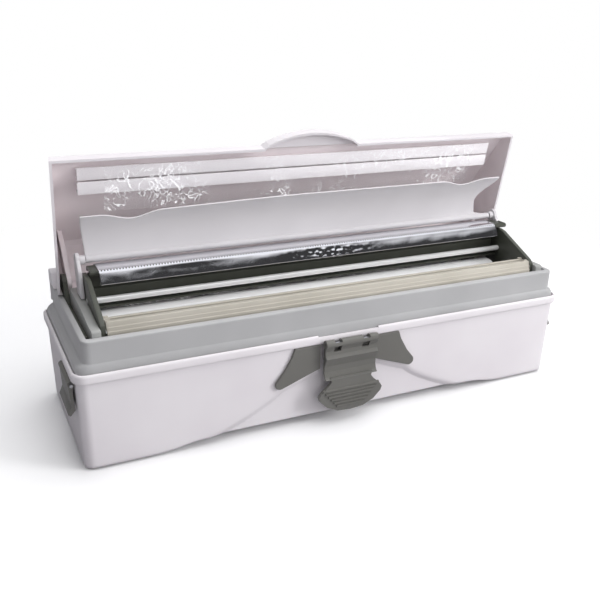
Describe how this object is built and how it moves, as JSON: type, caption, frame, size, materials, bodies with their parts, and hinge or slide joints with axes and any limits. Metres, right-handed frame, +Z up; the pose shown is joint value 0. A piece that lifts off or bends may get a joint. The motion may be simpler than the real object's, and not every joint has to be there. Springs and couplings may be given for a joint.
{
  "type": "cling film dispenser",
  "caption": "Twin-roll catering dispenser standing open: cling film and foil drawn over a beam to a guarded blade, with a hinged lid, divider flap and front latch.",
  "frame": {"origin": "on the floor, under the middle of the whole dispenser as it stands open", "axes": "+X along the rolls to the user's right, +Y to the back where the lid is hinged, +Z up"},
  "size_m": [0.5384, 0.1862, 0.2734],
  "materials": {
    "white_plastic": "satin",
    "light_grey_plastic": "satin",
    "mid_grey_plastic": "satin",
    "dark_grey_plastic": "satin",
    "cream_plastic": "satin",
    "latch_grey_plastic": "fine texture",
    "chromed_steel": "polished",
    "stainless_steel": "brushed",
    "aluminium_foil": "bright rolled",
    "cling_film": "clear film",
    "cardboard": "matt",
    "rubber": "matt"
  },
  "bodies": {
    "base": {"beam_channel": "dark_grey_plastic", "beam_rail": "mid_grey_plastic", "blade": "stainless_steel", "blade_bed": "dark_grey_plastic", "blade_clamp": "mid_grey_plastic", "blade_screw_1": "stainless_steel", "blade_screw_2": "stainless_steel", "blade_screw_3": "stainless_steel", "cassette_cheek_left": "mid_grey_plastic", "cassette_cheek_right": "mid_grey_plastic", "cheek_screw_left": "stainless_steel", "cheek_screw_right": "stainless_steel", "clip_pin_left": "stainless_steel", "clip_pin_right": "stainless_steel", "collar": "light_grey_plastic", "flap_bracket_left": "white_plastic", "flap_bracket_right": "white_plastic", "flap_rod": "stainless_steel", "foil_tail": "aluminium_foil", "guard_spring_left": "stainless_steel", "guard_spring_right": "stainless_steel", "latch_bracket": "latch_grey_plastic", "latch_pin": "stainless_steel", "latch_wing_left": "latch_grey_plastic", "latch_wing_right": "latch_grey_plastic", "lid_pin_left": "stainless_steel", "lid_pin_right": "stainless_steel", "rear_housing": "white_plastic", "roll_tray": "light_grey_plastic", "rubber_foot_1": "rubber", "rubber_foot_2": "rubber", "rubber_foot_3": "rubber", "rubber_foot_4": "rubber", "side_frame_left": "dark_grey_plastic", "side_frame_right": "dark_grey_plastic", "tub": "white_plastic"},
    "lid": {"lid_shell": "white_plastic", "press_bar_front": "white_plastic", "press_bar_rear": "white_plastic", "film_tail": "cling_film", "lid_arm_left": "white_plastic", "lid_arm_right": "white_plastic"},
    "divider": {"divider_flap": "white_plastic"},
    "guard": {"blade_guard": "cream_plastic"},
    "latch": {"latch_lever": "latch_grey_plastic"},
    "clip_left": {"side_clip_left": "latch_grey_plastic"},
    "clip_right": {"side_clip_right": "latch_grey_plastic"},
    "foil_spindle": {"foil_core": "cardboard", "foil_roll": "aluminium_foil", "foil_plug_left": "dark_grey_plastic", "foil_plug_right": "dark_grey_plastic"},
    "film_spindle": {"film_core": "cardboard", "film_roll": "cling_film", "film_plug_left": "dark_grey_plastic", "film_plug_right": "dark_grey_plastic"},
    "rod": {"guide_rod": "chromed_steel"}
  },
  "joints": [
    {"name": "lid_hinge", "type": "hinge", "parent": "base", "child": "lid", "pos_m": [0, 0.0461, 0.1346], "axis": [1, 0, 0], "range_deg": [0, 80], "deforming": ["film_tail"]},
    {"name": "divider_hinge", "type": "hinge", "parent": "base", "child": "divider", "pos_m": [0, 0.0131, 0.166], "axis": [1, 0, 0], "range_deg": [0, 102]},
    {"name": "guard_slide", "type": "slide", "parent": "base", "child": "guard", "axis": [0, 0, 1], "range_m": [-0.005, 0], "stiffness_N_per_m": 200, "springref_m": 0.004, "deforming": ["guard_spring_left", "guard_spring_right"]},
    {"name": "latch_hinge", "type": "hinge", "parent": "base", "child": "latch", "pos_m": [-0.003, -0.0876, 0.087], "axis": [1, 0, 0], "range_deg": [-40, 0]},
    {"name": "side_clip_left_hinge", "type": "hinge", "parent": "base", "child": "clip_left", "pos_m": [-0.265, -0.0689, 0.083], "axis": [0, 1, 0], "range_deg": [0, 35]},
    {"name": "side_clip_right_hinge", "type": "hinge", "parent": "base", "child": "clip_right", "pos_m": [0.265, -0.0689, 0.083], "axis": [0, 1, 0], "range_deg": [-35, 0]},
    {"name": "foil_roll_spin", "type": "hinge", "parent": "base", "child": "foil_spindle", "pos_m": [-0.002, -0.0069, 0.098], "axis": [1, 0, 0], "continuous": true},
    {"name": "film_roll_spin", "type": "hinge", "parent": "base", "child": "film_spindle", "pos_m": [-0.002, 0.0531, 0.076], "axis": [1, 0, 0], "continuous": true},
    {"name": "guide_rod_spin", "type": "hinge", "parent": "base", "child": "rod", "pos_m": [0, -0.0089, 0.133], "axis": [1, 0, 0], "continuous": true}
  ],
  "couplings": [
    {"joint": "divider_hinge", "follows": "lid_hinge", "ratio": 1.275}
  ]
}
